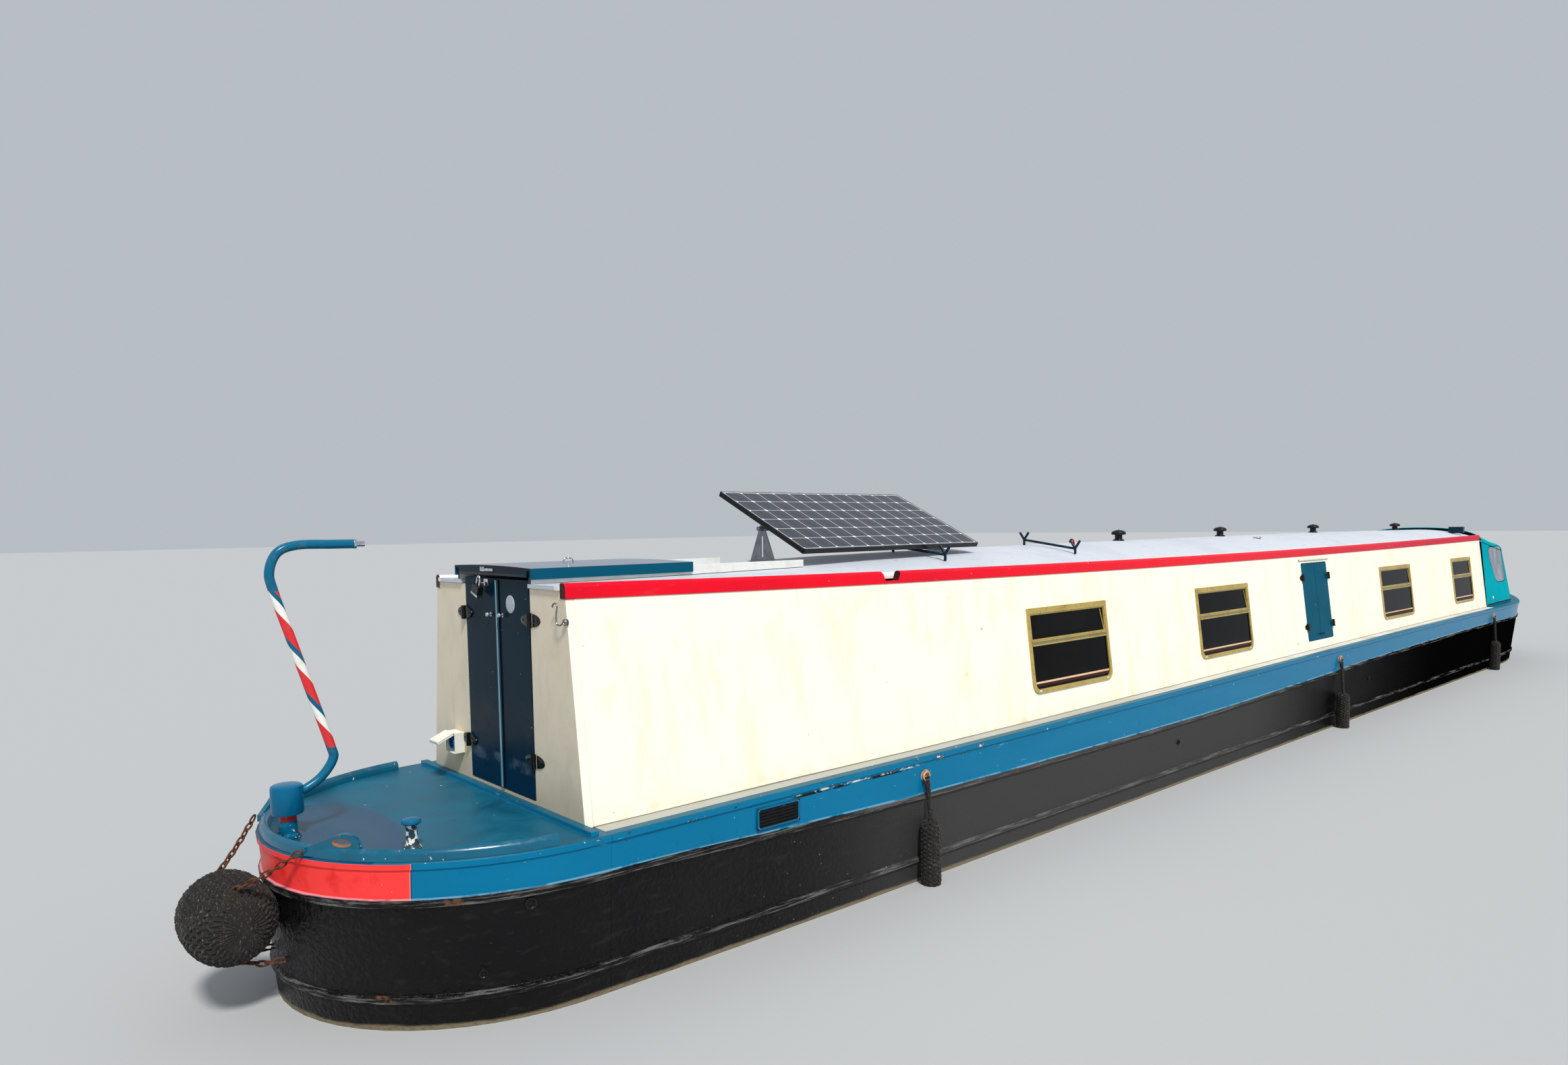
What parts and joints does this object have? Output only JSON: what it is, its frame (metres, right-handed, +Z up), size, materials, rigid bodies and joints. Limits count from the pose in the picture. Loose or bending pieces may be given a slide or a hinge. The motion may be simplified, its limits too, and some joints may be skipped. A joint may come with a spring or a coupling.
{
  "type": "narrowboat",
  "caption": "Steel narrowboat with a round traditional stern, long cambered cabin, tiller, sliding hatch, side hatch, covered fore well, roof solar panel and rope fenders.",
  "frame": {"origin": "centre of the overall footprint, at the underside of the base plate", "axes": "+X to the bow, +Y to port, +Z up; the waterline is 0.52 m above the origin"},
  "size_m": [18.5359, 2.28, 2.9073],
  "materials": {
    "hull_black": "thick brushed bitumen with scrapes",
    "teal_paint": "gloss enamel with chips",
    "cabin_cream": "gloss enamel with small rust spots",
    "bulkhead_stone": "satin enamel, soiled",
    "roof_grey": "matt non-slip paint",
    "rail_red": "gloss enamel",
    "dark_teal": "gloss enamel",
    "worn_steel": "worn bright steel",
    "window_frame": "polished brass frame with dark glass",
    "bronze": "cast bronze",
    "black_fittings": "satin black",
    "black_rope": "coarse woven rope",
    "timber": "varnished boards",
    "canvas": "acrylic canvas",
    "white_plastic": "satin",
    "solar_cells": "toughened glass over dark cells"
  },
  "bodies": {
    "boat": {"base_plate": "hull_black", "hull_side_starboard": "hull_black", "hull_side_port": "hull_black", "swim": "hull_black", "bow": "hull_black", "counter": "teal_paint", "stern_rim": "teal_paint", "rudder_bearing": "teal_paint", "engine": "worn_steel", "solar_bracket_aft": "worn_steel", "solar_bracket_fore": "worn_steel", "stern_dolly": "worn_steel", "bow_dolly": "worn_steel", "cabin_floor": "timber", "cratch_board": "timber", "rear_bulkhead": "bulkhead_stone", "front_bulkhead": "bulkhead_stone", "cabin_side_starboard": "cabin_cream", "handrail_starboard": "rail_red", "hatch_runner_starboard": "white_plastic", "window_galley_starboard": "window_frame", "window_saloon_starboard": "window_frame", "window_cabin_starboard": "window_frame", "window_bow_starboard": "window_frame", "fender_aft_starboard": "black_rope", "fender_middle_starboard": "black_rope", "fender_fore_starboard": "black_rope", "cabin_side_port": "cabin_cream", "handrail_port": "rail_red", "hatch_runner_port": "white_plastic", "window_galley_port": "window_frame", "window_saloon_port": "window_frame", "window_cabin_port": "window_frame", "window_bow_port": "window_frame", "fender_aft_port": "black_rope", "fender_middle_port": "black_rope", "fender_fore_port": "black_rope", "roof": "roof_grey", "roof_aft": "roof_grey", "rack_aft": "dark_teal", "rack_fore": "dark_teal", "roof_lamp": "dark_teal", "vent_1": "black_fittings", "vent_2": "black_fittings", "vent_3": "black_fittings", "vent_4": "black_fittings", "stern_fender": "black_rope", "shore_inlet": "white_plastic", "cratch_cover": "canvas"},
    "propeller": {"propeller": "bronze"},
    "rudder": {"rudder": "hull_black", "swan_neck": "teal_paint"},
    "sliding_hatch": {"sliding_hatch": "teal_paint"},
    "rear_door_starboard": {"rear_door_starboard": "dark_teal"},
    "rear_door_port": {"rear_door_port": "dark_teal"},
    "front_door_starboard": {"front_door_starboard": "dark_teal"},
    "front_door_port": {"front_door_port": "dark_teal"},
    "side_hatch_door_aft": {"side_hatch_door_aft": "teal_paint"},
    "side_hatch_door_fore": {"side_hatch_door_fore": "teal_paint"},
    "solar_panel": {"solar_panel": "solar_cells"}
  },
  "joints": [
    {"name": "propeller_spin", "type": "hinge", "parent": "boat", "child": "propeller", "pos_m": [-8.37215, 0, 0.255], "axis": [1, 0, 0], "continuous": true},
    {"name": "tiller", "type": "hinge", "parent": "boat", "child": "rudder", "pos_m": [-8.81915, 0, 1.3], "axis": [0, 0, 1], "range_deg": [-38, 38]},
    {"name": "hatch_slide", "type": "slide", "parent": "boat", "child": "sliding_hatch", "axis": [1, 0, 0], "range_m": [0, 0.65]},
    {"name": "rear_door_starboard_hinge", "type": "hinge", "parent": "boat", "child": "rear_door_starboard", "pos_m": [-7.78415, -0.395, 1.87], "axis": [0, 0, 1], "range_deg": [0, 170]},
    {"name": "rear_door_port_hinge", "type": "hinge", "parent": "boat", "child": "rear_door_port", "pos_m": [-7.78415, 0.365, 1.87], "axis": [0, 0, 1], "range_deg": [-100, 0]},
    {"name": "front_door_starboard_hinge", "type": "hinge", "parent": "boat", "child": "front_door_starboard", "pos_m": [6.79985, -0.329, 1.51], "axis": [0, 0, 1], "range_deg": [-100, 0]},
    {"name": "front_door_port_hinge", "type": "hinge", "parent": "boat", "child": "front_door_port", "pos_m": [6.79985, 0.329, 1.51], "axis": [0, 0, 1], "range_deg": [0, 100]},
    {"name": "side_hatch_aft_hinge", "type": "hinge", "parent": "boat", "child": "side_hatch_door_aft", "pos_m": [0.51985, -0.8472, 1.8226], "axis": [0, 0.1265, 0.992], "range_deg": [-170, 0]},
    {"name": "side_hatch_fore_hinge", "type": "hinge", "parent": "boat", "child": "side_hatch_door_fore", "pos_m": [1.18285, -0.8472, 1.8226], "axis": [0, 0.1265, 0.992], "range_deg": [0, 170]},
    {"name": "solar_tilt", "type": "hinge", "parent": "boat", "child": "solar_panel", "pos_m": [-5.10215, 0.006, 2.659], "axis": [0.9986, 0.0523, 0], "range_deg": [-52, 0]}
  ]
}
